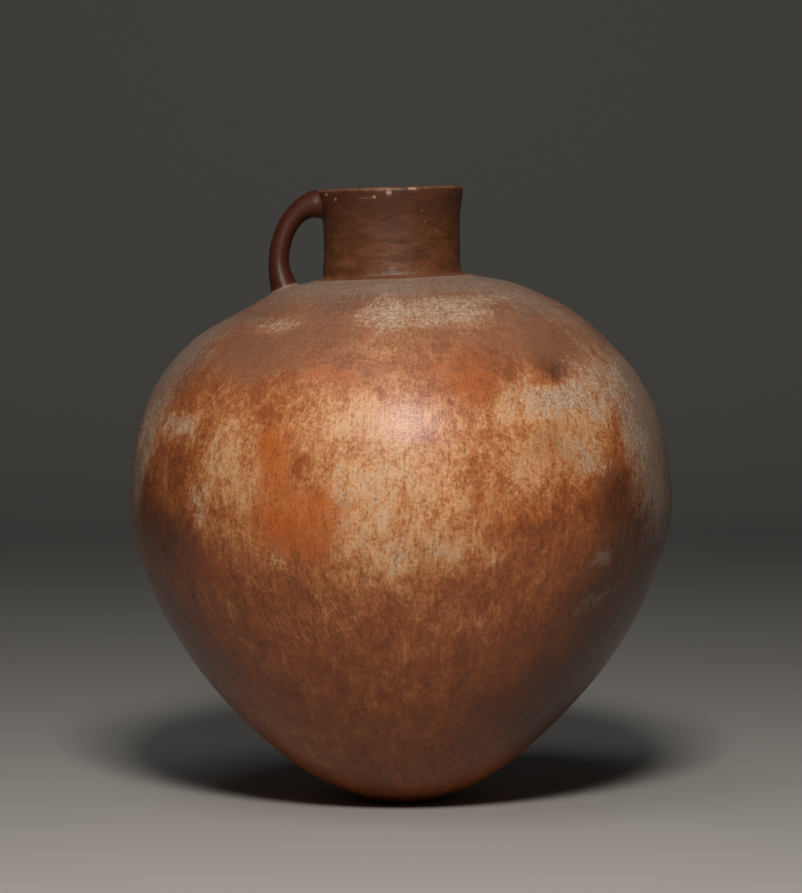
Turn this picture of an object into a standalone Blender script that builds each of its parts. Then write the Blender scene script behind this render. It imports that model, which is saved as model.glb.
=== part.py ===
"""Burnished pottery jug: a wide shouldered jar that narrows to a small base, with a short neck and
one loop handle from the rim to the shoulder. It is one fired piece, hollow and open at the mouth.

Metres, +Z up. The origin is the middle of the small flat that the jug stands on, and the handle is
on the -X side.
"""

import math

import bmesh
import bpy
from mathutils import Matrix, Vector

# Heights and radii of the outside, before the top is set askew
JUG_HEIGHT = 0.4179
NECK_HEIGHT = 0.0585
BELLY_HEIGHT = 0.203
BELLY_RADIUS = 0.1843
FOOT_RADIUS = 0.0235
NECK_BASE_RADIUS = 0.0474
NECK_WAIST_RADIUS = 0.0458
RIM_RADIUS = 0.0492

# Thickness of the clay
FLOOR_THICKNESS = 0.014
BODY_WALL = 0.008
NECK_WALL = 0.0065
LIP_WALL = 0.0055

# The handle: its thickness is measured towards the neck, and its width around the neck
FINGER_GAP = 0.0234
HANDLE_THICKNESS = 0.0137
HANDLE_WIDTH = 0.0185
HANDLE_TOP_ROOT = 0.019
HANDLE_FOOT_ROOT = 0.0206
HANDLE_SET_DOWN = 0.0004
HANDLE_TUCK = 0.0016

# The potter set the top askew towards the handle: it leans, and the neck sits off centre
SHOULDER_LEAN = math.radians(1.7)
NECK_DRIFT = 0.006

# Proportions of the body's free curves, as shares of its own radii, heights and spans. An even
# reach is the one at which a cubic Bezier runs at a steady pace.
TURN_RADIUS_SHARE = 0.501
TURN_HEIGHT_SHARE = 0.204
TURN_SLOPE = math.radians(42)
FOOT_SLOPE = math.radians(20)
FOOT_FULLNESS = 0.388
TURN_FULLNESS = 0.365
WALL_FULLNESS = 0.589
BELLY_DROP = 0.111
SHOULDER_FULLNESS = 0.589
SHOULDER_FLATNESS = 0.625
SHOULDER_SLOPE = math.radians(12.8)
NECK_WAIST_SHARE = 0.55
LEAN_SHARE = 0.787
LEAN_BLEND_SHARE = 0.175
DRIFT_START_SHARE = 0.75
DRIFT_END_SHARE = 0.27
NECK_TAKE_OFF = 0.25
EVEN_REACH = 1 / 3

# Proportions of the handle's line and of the roots where it is luted on
HANDLE_TOP_REACH = 0.62
HANDLE_FOOT_REACH = 0.54
HANDLE_FOOT_SLANT = math.radians(13)
TOP_ROOT_LENGTH = 0.0257
FOOT_ROOT_LENGTH = 0.0226

# Facets
TURNS = 64
BASE_ROWS = 5
LOWER_WALL_ROWS = 8
SHOULDER_ROWS = 12
NECK_ROWS = 3
LIP_STEPS = 4
HANDLE_RINGS = 16
HANDLE_RESOLUTION = 4
SHARP_ANGLE = math.radians(40)
MERGE_DISTANCE = 0.00005
SEARCH_STEPS = 30

CLAY_COLOUR = (0.295, 0.105, 0.042, 1.0)
CLAY_ROUGHNESS = 0.45

UP = Vector((0, 1))
OUT = Vector((1, 0))

neck_base_height = JUG_HEIGHT - NECK_HEIGHT
shoulder_rise = neck_base_height - BELLY_HEIGHT
lip_radius = LIP_WALL / 2


def polar(length, angle):
    """A vector of this length in the plane of the profile, at this angle above the horizontal."""
    return Vector((length * math.cos(angle), length * math.sin(angle)))


foot_edge = OUT * FOOT_RADIUS
turn = Vector((TURN_RADIUS_SHARE * BELLY_RADIUS, TURN_HEIGHT_SHARE * BELLY_HEIGHT))
belly = Vector((BELLY_RADIUS, BELLY_HEIGHT))
neck_base = Vector((NECK_BASE_RADIUS, neck_base_height))
neck_waist = Vector((NECK_WAIST_RADIUS, neck_base_height + NECK_WAIST_SHARE * NECK_HEIGHT))
rim_edge = Vector((RIM_RADIUS, JUG_HEIGHT - lip_radius))

foot_span = (turn - foot_edge).length
wall_span = (belly - turn).length
waist_rise = neck_waist.y - neck_base.y
rim_rise = rim_edge.y - neck_waist.y

# Each free curve of the outside runs upwards, as the four points of a cubic Bezier
base_curve = (
    foot_edge,
    foot_edge + polar(FOOT_FULLNESS * foot_span, FOOT_SLOPE),
    turn - polar(TURN_FULLNESS * foot_span, TURN_SLOPE),
    turn,
)
lower_wall_curve = (
    turn,
    turn + polar(WALL_FULLNESS * wall_span, TURN_SLOPE),
    belly - UP * BELLY_DROP * (belly.y - turn.y),
    belly,
)
shoulder_curve = (
    belly,
    belly + UP * SHOULDER_FULLNESS * shoulder_rise,
    neck_base + polar(SHOULDER_FLATNESS * (BELLY_RADIUS - NECK_BASE_RADIUS), -SHOULDER_SLOPE),
    neck_base,
)
neck_curve = (
    neck_base,
    Vector((NECK_WAIST_RADIUS, neck_base.y + NECK_TAKE_OFF * waist_rise)),
    neck_waist - UP * EVEN_REACH * waist_rise,
    neck_waist,
)
rim_curve = (
    neck_waist,
    neck_waist + UP * EVEN_REACH * rim_rise,
    rim_edge.lerp(neck_waist, EVEN_REACH),
    rim_edge,
)


def clear_scene():
    """Removes every object, so that the part starts from an empty scene."""
    for old in list(bpy.data.objects):
        bpy.data.objects.remove(old, do_unlink=True)


def new_collection(name):
    """A collection in the scene."""
    collection = bpy.data.collections.new(name)
    bpy.context.scene.collection.children.link(collection)
    return collection


def smoothstep(share):
    """0 below 0, 1 above 1, and a smooth rise in between."""
    share = min(1.0, max(0.0, share))
    return share * share * (3 - 2 * share)


def bezier(ends, share):
    """The point and the direction of a cubic Bezier curve at this share of its way."""
    a, b, c, d = ends
    rest = 1 - share
    point = rest**3 * a + 3 * rest**2 * share * b + 3 * rest * share**2 * c + share**3 * d
    along = rest**2 * (b - a) + 2 * rest * share * (c - b) + share**2 * (d - c)
    return point, along.normalized()


def wall_run(ends, rows, first_wall, last_wall, from_start=False):
    """Pairs of an outer and an inner point, up a curve of the outside.

    The clay between them goes evenly from one thickness to the other.
    """
    pairs = []
    for row in range(0 if from_start else 1, rows + 1):
        share = row / rows
        point, along = bezier(ends, share)
        inward = Vector((-along.y, along.x))
        pairs.append((point, point + inward * (first_wall + (last_wall - first_wall) * share)))
    return pairs


def wall_pairs():
    """Pairs of an outer and an inner point, from the foot up to the lip."""
    pairs = wall_run(base_curve, BASE_ROWS, FLOOR_THICKNESS, BODY_WALL, from_start=True)
    pairs += wall_run(lower_wall_curve, LOWER_WALL_ROWS, BODY_WALL, BODY_WALL)
    pairs += wall_run(shoulder_curve, SHOULDER_ROWS, BODY_WALL, BODY_WALL)
    pairs += wall_run(neck_curve, NECK_ROWS, NECK_WALL, NECK_WALL)
    pairs += wall_run(rim_curve, NECK_ROWS, NECK_WALL, LIP_WALL)
    # The lip is upright, so the pair at its foot lies level and not square to the flare
    pairs[-1] = (rim_edge, rim_edge - OUT * LIP_WALL)
    return pairs


def vessel_profile():
    """Half of the vessel's section, from the axis inside the floor to the axis under the foot."""
    pairs = wall_pairs()
    outer = [pair[0] for pair in pairs]
    inner = [pair[1] for pair in pairs]
    lip_centre = rim_edge - OUT * lip_radius
    angles = [math.pi * (1 - step / LIP_STEPS) for step in range(1, LIP_STEPS)]
    lip = [lip_centre + polar(lip_radius, angle) for angle in angles]
    return [UP * FLOOR_THICKNESS] + inner + lip + outer[::-1] + [UP * 0]


def core_profile():
    """Half of the section of a core that fills the jug to the middle of its wall, and stands proud."""
    middle = [(outer + inner) / 2 for outer, inner in wall_pairs()]
    top = middle[-1] + UP * HANDLE_TOP_ROOT
    return [UP * top.y, top] + middle[::-1] + [UP * middle[0].y]


def evaluated_mesh(name, helper):
    """A plain mesh of what a helper object looks like after its modifiers. The helper goes."""
    bpy.context.view_layer.update()
    graph = bpy.context.evaluated_depsgraph_get()
    mesh = bpy.data.meshes.new_from_object(helper.evaluated_get(graph))
    mesh.name = name
    mesh.transform(helper.matrix_world)
    bpy.data.objects.remove(helper, do_unlink=True)
    work = bmesh.new()
    work.from_mesh(mesh)
    bmesh.ops.remove_doubles(work, verts=work.verts, dist=MERGE_DISTANCE)
    work.to_mesh(mesh)
    work.free()
    return mesh


def turned_mesh(name, profile, collection):
    """The closed mesh that a profile sweeps round the Z axis, by a Screw modifier."""
    outline = bpy.data.meshes.new(name + "_outline")
    points = [(point.x, 0, point.y) for point in profile]
    outline.from_pydata(points, [(i, i + 1) for i in range(len(points) - 1)], [])
    helper = bpy.data.objects.new(name + "_outline", outline)
    collection.objects.link(helper)
    screw = helper.modifiers.new("Screw", "SCREW")
    screw.steps = screw.render_steps = TURNS
    screw.use_merge_vertices = True
    screw.merge_threshold = MERGE_DISTANCE
    return evaluated_mesh(name, helper)


def shoulder_height(radius):
    """How high the shoulder is at this radius."""
    low, high = 0.0, 1.0
    for _ in range(SEARCH_STEPS):
        middle = (low + high) / 2
        if bezier(shoulder_curve, middle)[0].x > radius:
            low = middle
        else:
            high = middle
    return bezier(shoulder_curve, low)[0].y


def root_growth(distance, length, root):
    """How much the handle's radius grows at this distance from the end that is luted on."""
    share = max(0.0, 1 - distance / length)
    return (root - HANDLE_THICKNESS) / 2 * share * share


def handle_line():
    """Points down the middle of the handle, each with its radius towards the neck.

    The first and the last lie inside the jug, and are cut back to the middle of its wall.
    """
    foot_radius = NECK_WAIST_RADIUS + FINGER_GAP + HANDLE_THICKNESS / 2 - HANDLE_TUCK
    foot = Vector((foot_radius, shoulder_height(foot_radius)))
    top = Vector((RIM_RADIUS, JUG_HEIGHT - HANDLE_SET_DOWN - HANDLE_TOP_ROOT / 2))
    into_foot = Vector((-math.sin(HANDLE_FOOT_SLANT), -math.cos(HANDLE_FOOT_SLANT)))
    reach = foot.x + HANDLE_TUCK - top.x
    ends = (
        top,
        top + OUT * HANDLE_TOP_REACH * reach,
        foot - into_foot * HANDLE_FOOT_REACH * (top.y - foot.y),
        foot,
    )
    points = [bezier(ends, ring / (HANDLE_RINGS - 1))[0] for ring in range(HANDLE_RINGS)]
    points = [top - OUT * HANDLE_WIDTH] + points + [foot + into_foot * HANDLE_WIDTH]
    line = []
    for point in points:
        from_top = 0 if point.x < top.x else (point - top).length
        from_foot = 0 if point.y < foot.y else (point - foot).length
        radius = HANDLE_THICKNESS / 2
        radius += root_growth(from_top, TOP_ROOT_LENGTH, HANDLE_TOP_ROOT)
        radius += root_growth(from_foot, FOOT_ROOT_LENGTH, HANDLE_FOOT_ROOT)
        line.append((point, radius))
    return line


def handle_mesh(collection):
    """The handle as a swept tube, made oval by widening it around the neck."""
    line = handle_line()
    curve = bpy.data.curves.new("handle_line", "CURVE")
    curve.dimensions = "3D"
    curve.bevel_depth = 1.0
    curve.bevel_resolution = HANDLE_RESOLUTION
    curve.use_fill_caps = True
    spline = curve.splines.new("POLY")
    spline.points.add(len(line) - 1)
    for spot, (point, radius) in zip(spline.points, line):
        spot.co = (-point.x, 0, point.y, 1)
        spot.radius = radius
    helper = bpy.data.objects.new("handle_line", curve)
    collection.objects.link(helper)
    mesh = evaluated_mesh("handle", helper)
    mesh.transform(Matrix.Scale(HANDLE_WIDTH / HANDLE_THICKNESS, 4, Vector((0, 1, 0))))
    return mesh


def set_askew(mesh):
    """Leans everything above the shoulder's upper part, and slides the neck off centre."""
    pivot = BELLY_HEIGHT + LEAN_SHARE * shoulder_rise
    drift_start = BELLY_HEIGHT + DRIFT_START_SHARE * shoulder_rise
    drift_rise = neck_base_height + DRIFT_END_SHARE * NECK_HEIGHT - drift_start
    for vertex in mesh.vertices:
        height = vertex.co.z
        drift = NECK_DRIFT * smoothstep((height - drift_start) / drift_rise)
        lean = SHOULDER_LEAN * smoothstep((height - pivot) / (LEAN_BLEND_SHARE * shoulder_rise) + 0.5)
        x, z = vertex.co.x - drift, height - pivot
        vertex.co.x = x * math.cos(lean) - z * math.sin(lean)
        vertex.co.z = pivot + x * math.sin(lean) + z * math.cos(lean)
    mesh.update()


def add_guide(name, mesh, collection):
    """A solid that only joins or cuts another, and is no part of the jug itself."""
    guide = bpy.data.objects.new(name, mesh)
    guide.hide_render = True
    guide.display_type = "WIRE"
    collection.objects.link(guide)
    return guide


def add_boolean(target, name, operation, other):
    """A Boolean modifier that works on the target with another object."""
    boolean = target.modifiers.new(name, "BOOLEAN")
    boolean.operation = operation
    boolean.solver = "EXACT"
    boolean.object = other


def fired_clay():
    """Red slip, burnished to a soft shine."""
    material = bpy.data.materials.new("burnished_red_slip")
    material.use_nodes = True
    shader = material.node_tree.nodes["Principled BSDF"]
    shader.inputs["Base Color"].default_value = CLAY_COLOUR
    shader.inputs["Roughness"].default_value = CLAY_ROUGHNESS
    shader.inputs["Metallic"].default_value = 0.0
    material.diffuse_color = CLAY_COLOUR
    return material


def build():
    """Turns the vessel and lutes the handle on, which leaves one solid named jug."""
    clear_scene()
    parts = new_collection("burnished_pottery_jug")
    guides = new_collection("guides")

    vessel = turned_mesh("jug", vessel_profile(), guides)
    core = turned_mesh("core", core_profile(), guides)
    tube = handle_mesh(guides)
    for mesh in (vessel, core, tube):
        set_askew(mesh)

    jug = bpy.data.objects.new("jug", vessel)
    parts.objects.link(jug)
    handle = add_guide("handle", tube, guides)
    add_boolean(handle, "Trim to mid wall", "DIFFERENCE", add_guide("core", core, guides))
    add_boolean(jug, "Lute the handle on", "UNION", handle)

    vessel.materials.clear()
    vessel.materials.append(fired_clay())
    vessel.shade_smooth()
    vessel.set_sharp_from_angle(angle=SHARP_ANGLE)


build()
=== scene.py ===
"""Looks of the burnished pottery jug: its fine surface, its worn red slip, and the studio round it.

The jug is one fired piece, so one mesh stands for it: a vessel built by hand, evened and burnished,
with a loop handle luted on. Metres, +Z up, the handle towards -X and the side that the photograph
shows towards -Y. A place on the wall is given by its azimuth from the front, in degrees, positive
towards +X, and by its way up the wall from the middle of the underside, in millimetres.
"""

import logging
import math
import random
from collections.abc import Callable, Sequence
from dataclasses import dataclass, field
from enum import Enum
from functools import partial

import bmesh
import bpy
import numpy as np
from mathutils import Matrix, Vector, noise


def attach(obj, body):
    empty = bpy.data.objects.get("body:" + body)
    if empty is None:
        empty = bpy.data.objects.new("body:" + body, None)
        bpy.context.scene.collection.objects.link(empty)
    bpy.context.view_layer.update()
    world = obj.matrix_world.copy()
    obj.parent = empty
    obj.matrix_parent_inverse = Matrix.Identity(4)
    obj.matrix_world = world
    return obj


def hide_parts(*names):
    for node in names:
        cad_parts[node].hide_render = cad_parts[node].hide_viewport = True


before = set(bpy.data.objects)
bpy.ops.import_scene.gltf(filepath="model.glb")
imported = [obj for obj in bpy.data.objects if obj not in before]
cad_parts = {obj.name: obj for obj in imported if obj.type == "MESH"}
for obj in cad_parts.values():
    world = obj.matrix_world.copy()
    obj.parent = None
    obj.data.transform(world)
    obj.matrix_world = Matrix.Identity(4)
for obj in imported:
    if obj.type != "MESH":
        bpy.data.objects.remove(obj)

Socket = bpy.types.NodeSocket
Adder = Callable[..., Socket]
BMVert, BMEdge = bmesh.types.BMVert, bmesh.types.BMEdge

MILLIMETRE = 0.001
TINY = 1e-6
CURVE_STEPS = 400
# Every pattern runs from 0 to 1 about this middle.
MIDDLE = 0.5
# Settings that several nodes share: a soft step, and the mix of two colours.
SMOOTH = {"interpolation_type": "SMOOTHSTEP"}
RGBA = {"output": 2, "data_type": "RGBA"}
# How a patch fades past its edge, and from which half height on, in millimetres, its shape is ragged.
EDGE_FALL = 0.7
EDGE_POWER = 1.15
CRISP_SIZE = 3
RAGGED_RANGE = 11

log = logging.getLogger("jug")


def linear_colour(code: str) -> tuple[float, float, float, float]:
    """Turns an sRGB hex colour into the linear one that a shader takes.

    Args:
        code: The colour as six hex digits after a hash.

    Returns:
        Red, green and blue in linear light, and full opacity.
    """
    shades = [int(code[i:i + 2], 16) / 255 for i in (1, 3, 5)]
    linear = [s / 12.92 if s <= 0.04045 else ((s + 0.055) / 1.055) ** 2.4 for s in shades]
    return (*linear, 1.0)


def per_metre(size: float) -> float:
    """Returns the scale of a pattern whose features are this many millimetres wide."""
    return 1 / (size * MILLIMETRE)


def rise(values: np.ndarray) -> np.ndarray:
    """Returns 0 below 0, 1 above 1, and a smooth rise in between."""
    share = np.clip(values, 0, 1)
    return share * share * (3 - 2 * share)


def fade(gap: np.ndarray) -> np.ndarray:
    """Returns 1 in a patch's middle and 0 far away, from the squared share of the way to its edge."""
    return np.exp(-EDGE_FALL * gap**EDGE_POWER)


def turned(azimuth: np.ndarray, start: float) -> np.ndarray:
    """Returns how far each azimuth lies from another, in degrees either way."""
    return (azimuth - start + 180) % 360 - 180


def bezier(
    ends: Sequence[np.ndarray | Vector], t: float | np.ndarray
) -> tuple[np.ndarray | Vector, np.ndarray | Vector]:
    """Follows a cubic Bezier curve.

    Args:
        ends: Its four points.
        t: The share of the way, or a column of shares.

    Returns:
        The points there, and which way the curve runs.
    """
    a, b, c, d = ends
    r = 1 - t
    points = r**3 * a + 3 * r**2 * t * b + 3 * r * t**2 * c + t**3 * d
    return points, r**2 * (b - a) + 2 * r * t * (c - b) + t**2 * (d - c)


def add_node(
    tree: bpy.types.NodeTree,
    kind: str,
    inputs: dict[int | str, object] | None = None,
    output: int | str = 0,
    **settings: object,
) -> Socket:
    """Adds a shader node with its settings and links.

    Args:
        tree: The material's node tree.
        kind: The node's type, as Blender names it after ShaderNode.
        inputs: What each input takes, another node's socket or a plain value.
        output: Which output to return.
        **settings: The node's own properties.

    Returns:
        One of the node's outputs.
    """
    node = tree.nodes.new("ShaderNode" + kind)
    for name, value in settings.items():
        setattr(node, name, value)
    for name, value in (inputs or {}).items():
        if isinstance(value, Socket):
            tree.links.new(value, node.inputs[name])
        else:
            node.inputs[name].default_value = value
    return node.outputs[output]


def new_material(name: str) -> tuple[bpy.types.Material, bpy.types.ShaderNodeBsdfPrincipled]:
    """Makes a material with nothing but its shader.

    Args:
        name: The finish's name.

    Returns:
        The material and its Principled shader.
    """
    material = bpy.data.materials.new(name)
    material.use_nodes = True
    return material, material.node_tree.nodes["Principled BSDF"]


def new_object(name: str, work: bmesh.types.BMesh) -> bpy.types.Object:
    """Makes an object at the origin from a finished bmesh, which is freed.

    Args:
        name: The object's name.
        work: Its mesh, in place.

    Returns:
        The linked object.
    """
    mesh = bpy.data.meshes.new(name)
    work.to_mesh(mesh)
    work.free()
    piece = bpy.data.objects.new(name, mesh)
    bpy.context.scene.collection.objects.link(piece)
    return piece


@dataclass(frozen=True)
class VesselForm:
    """The vessel's outline and walls in metres, and the proportions of its free curves."""

    height: float = 0.4179
    neck_height: float = 0.0585
    belly_height: float = 0.203
    belly_radius: float = 0.1843
    foot_radius: float = 0.0235
    neck_base_radius: float = 0.0474
    neck_waist_radius: float = 0.0458
    rim_radius: float = 0.0492
    floor: float = 0.014
    body_wall: float = 0.008
    neck_wall: float = 0.0065
    lip_wall: float = 0.0055
    turn_radius_share: float = 0.501
    turn_height_share: float = 0.204
    turn_slope: float = math.radians(42)
    foot_slope: float = math.radians(20)
    foot_fullness: float = 0.388
    turn_fullness: float = 0.365
    wall_fullness: float = 0.589
    belly_drop: float = 0.111
    shoulder_fullness: float = 0.589
    shoulder_flatness: float = 0.625
    shoulder_slope: float = math.radians(12.8)
    waist_share: float = 0.55
    neck_take_off: float = 0.25
    even_reach: float = 1 / 3
    spacings: tuple[float, ...] = (0.0034, 0.0033, 0.0024, 0.0014, 0.0014)

    @property
    def neck_base_height(self) -> float:
        """Returns how high the neck starts."""
        return self.height - self.neck_height

    @property
    def shoulder_rise(self) -> float:
        """Returns how far the shoulder climbs from the belly to the neck."""
        return self.neck_base_height - self.belly_height

    @property
    def lip_radius(self) -> float:
        """Returns the radius that rounds the lip."""
        return self.lip_wall / 2

    def curves(self) -> list[tuple[np.ndarray, float, float, float]]:
        """Works out the outside, from the foot's edge up to the lip.

        Returns:
            For each free curve the four points of its Bezier, the spacing of its rows, and the clay's
            thickness at its two ends.
        """
        up = np.array([0.0, 1.0])
        foot = np.array([self.foot_radius, 0.0])
        turn = np.array([
            self.turn_radius_share * self.belly_radius,
            self.turn_height_share * self.belly_height,
        ])
        belly = np.array([self.belly_radius, self.belly_height])
        base = np.array([self.neck_base_radius, self.neck_base_height])
        waist = np.array([self.neck_waist_radius, base[1] + self.waist_share * self.neck_height])
        rim = np.array([self.rim_radius, self.height - self.lip_radius])
        foot_span = np.linalg.norm(turn - foot)
        wall_span = np.linalg.norm(belly - turn)
        neck_rise, rim_rise = waist[1] - base[1], rim[1] - waist[1]
        climb, leave, fall = (
            np.array([math.cos(slope), math.sin(slope)])
            for slope in (self.turn_slope, self.foot_slope, -self.shoulder_slope)
        )
        take_off = np.array([waist[0] - base[0], self.neck_take_off * neck_rise])
        width = self.belly_radius - self.neck_base_radius
        places = (foot, turn, belly, base, waist, rim)
        reaches = (
            (leave * self.foot_fullness * foot_span, -climb * self.turn_fullness * foot_span),
            (climb * self.wall_fullness * wall_span, -up * self.belly_drop * (belly[1] - turn[1])),
            (up * self.shoulder_fullness * self.shoulder_rise, fall * self.shoulder_flatness * width),
            (take_off, -up * self.even_reach * neck_rise),
            (up * self.even_reach * rim_rise, (waist - rim) * self.even_reach),
        )
        body, neck = self.body_wall, self.neck_wall
        walls = ((self.floor, body), (body, body), (body, body), (neck, neck), (neck, self.lip_wall))
        return [
            (np.array([start, start + ahead, end + back, end]), spacing, first, last)
            for start, end, (ahead, back), spacing, (first, last)
            in zip(places[:-1], places[1:], reaches, self.spacings, walls)
        ]


@dataclass(frozen=True)
class HandleForm:
    """The loop handle's sizes in metres, and the proportions of its line."""

    finger_gap: float = 0.0234
    thickness: float = 0.0137
    width: float = 0.0185
    top_root: float = 0.019
    foot_root: float = 0.0206
    set_down: float = 0.0004
    tuck: float = 0.0016
    top_reach: float = 0.62
    foot_reach: float = 0.54
    foot_slant: float = math.radians(13)
    top_root_length: float = 0.0257
    foot_root_length: float = 0.0226
    rings: int = 84
    sides: int = 48


@dataclass(frozen=True)
class Askew:
    """How the potter set the top off centre, towards the handle."""

    lean: float = math.radians(1.7)
    drift: float = 0.006
    lean_share: float = 0.787
    blend_share: float = 0.175
    drift_start: float = 0.75
    drift_end: float = 0.27

    def apply(self, form: VesselForm, points: np.ndarray) -> np.ndarray:
        """Leans everything above the shoulder's upper part, and slides the neck off centre.

        Args:
            form: The vessel's sizes.
            points: Points on the straight jug, one to a row.

        Returns:
            The points on the jug as it stands.
        """
        pivot = form.belly_height + self.lean_share * form.shoulder_rise
        start = form.belly_height + self.drift_start * form.shoulder_rise
        span = form.neck_base_height + self.drift_end * form.neck_height - start
        height = points[:, 2]
        drift = self.drift * rise((height - start) / span)
        lean = self.lean * rise((height - pivot) / (self.blend_share * form.shoulder_rise) + 0.5)
        x, z = points[:, 0] - drift, height - pivot
        out = points.copy()
        out[:, 0] = x * np.cos(lean) - z * np.sin(lean)
        out[:, 2] = pivot + x * np.sin(lean) + z * np.cos(lean)
        return out


class Mark(Enum):
    """What an area of the surface shows. The value is the name of the mesh attribute that holds it."""

    THIN = "thin_slip"
    MAUVE = "mauve_bloom"
    ORANGE = "orange_flash"
    BROWN = "brown_slip"
    # Painted shade on the limbs and low on the sides, where less light falls, with one real dark spot on the
    # right.
    SHADE_AND_DARK_SPOT = "painted_shade_and_dark_spot"
    GREY = "grey_film"
    CREAM = "worn_to_cream"
    GOUGED = "slanted_strokes"
    CHIP = "bare_chip"


@dataclass(frozen=True)
class Spot:
    """A soft-edged place on the wall. Half its width and half its height are in millimetres.

    Its strength is how much of a mark it has or, for a swelling, how far it stands out, also in
    millimetres. Its slant is in degrees.
    """

    name: str
    azimuth: float
    way: float
    across: float
    along: float
    strength: float = 1.0
    slant: float = 0.0

    def share(
        self,
        azimuth: np.ndarray,
        way: np.ndarray,
        radius: np.ndarray,
        warp: np.ndarray | None = None,
    ) -> np.ndarray:
        """Works out how much of it each point has.

        Args:
            azimuth: Each point's azimuth in degrees.
            way: Each point's way up the wall in millimetres.
            radius: Each point's distance from the axis in millimetres.
            warp: How far each point is read off its place, in millimetres, for a ragged shape.

        Returns:
            1 in its middle, a half at its edge, and 0 far away.
        """
        u, v = np.radians(turned(azimuth, self.azimuth)) * radius, way - self.way
        if warp is not None:
            hold = min(1.0, max(0.0, self.along - CRISP_SIZE) / RAGGED_RANGE)
            u, v = u + warp[:, 0] * hold, v + warp[:, 1] * hold
        angle = math.radians(self.slant)
        u, v = u * math.cos(angle) - v * math.sin(angle), u * math.sin(angle) + v * math.cos(angle)
        return fade((u / self.across) ** 2 + (v / self.along) ** 2)


def spots(*rows: tuple[str | float, ...]) -> tuple[Spot, ...]:
    """Returns the places that a table lists, one to a row."""
    return tuple(Spot(*row) for row in rows)


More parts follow.
